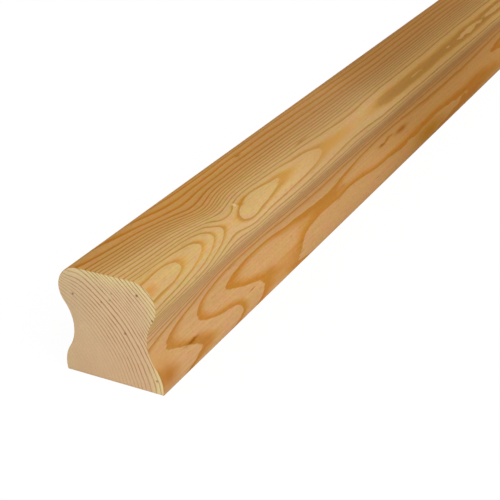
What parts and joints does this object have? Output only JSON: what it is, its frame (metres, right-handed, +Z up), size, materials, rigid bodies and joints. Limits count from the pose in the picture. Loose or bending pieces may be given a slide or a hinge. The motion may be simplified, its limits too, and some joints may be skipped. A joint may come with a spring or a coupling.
{
  "type": "stair handrail",
  "caption": "Straight length of moulded softwood stair handrail with a rounded grip, a finger groove along each side and a flat underside for brackets.",
  "frame": {"origin": "middle of the flat underside, on the surface that the rail lies on", "axes": "+X along the rail, from the end that the picture shows to the far end; +Z up from the flat underside to the crown of the grip; +Y to the left, seen from the near end"},
  "size_m": [2.4, 0.059, 0.062],
  "materials": {
    "pine": "satin"
  },
  "bodies": {
    "root": {"handrail": "pine"}
  },
  "joints": []
}
